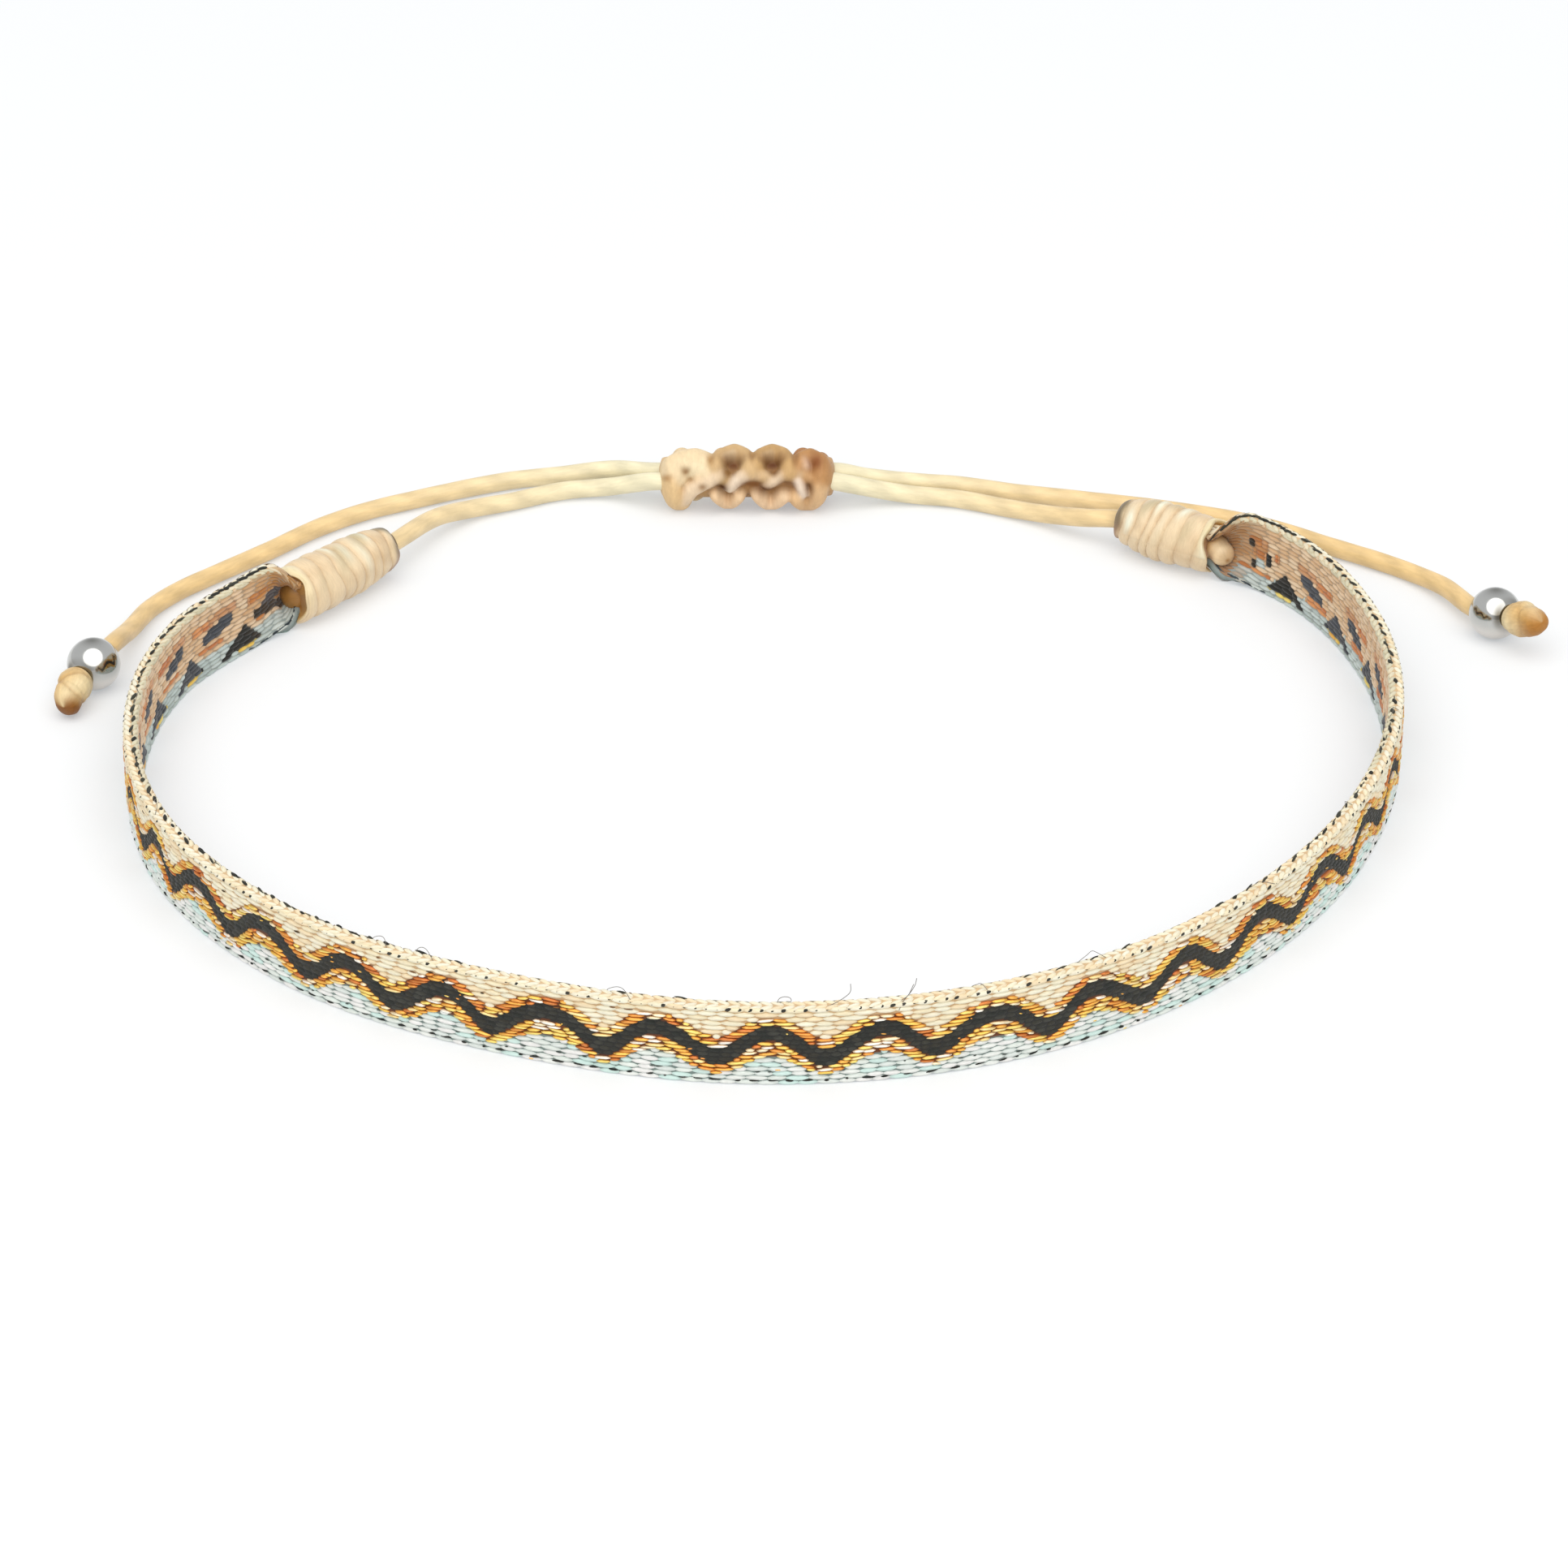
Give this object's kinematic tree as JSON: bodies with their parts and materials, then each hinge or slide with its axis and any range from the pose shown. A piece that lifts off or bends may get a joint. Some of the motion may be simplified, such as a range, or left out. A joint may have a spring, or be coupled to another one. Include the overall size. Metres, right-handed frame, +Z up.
{
  "type": "friendship bracelet",
  "caption": "Narrow woven ribbon bracelet closed by waxed pull cords through a sliding knot, with steel beads near the knotted cord ends, lying on edge as an open loop.",
  "frame": {"origin": "bottom centre of the loop of ribbon and sliding knot, on the surface it lies on", "axes": "+Z up, across the ribbon's width; +Y towards the sliding knot at the back; +X to the right, with the ribbon's middle at -Y"},
  "size_m": [0.0844, 0.0654, 0.0046],
  "materials": {
    "woven_ribbon": "woven cotton in cream and pale aqua with a black zigzag edged in metallic gold thread",
    "whipping_thread": "flat cream thread wound in close turns",
    "knot_cord": "waxed tan cord, knotted",
    "waxed_cord": "smooth waxed golden cream cord",
    "steel_bead": "polished",
    "melted_knot": "waxed cord knotted, with a browned melted tip"
  },
  "bodies": {
    "root": {"band": "woven_ribbon", "whip_left": "whipping_thread", "whip_right": "whipping_thread", "slide_knot": "knot_cord", "cord_left": "waxed_cord", "cord_right": "waxed_cord", "bead_left": "steel_bead", "bead_right": "steel_bead", "end_knot_left": "melted_knot", "end_knot_right": "melted_knot"}
  },
  "joints": []
}
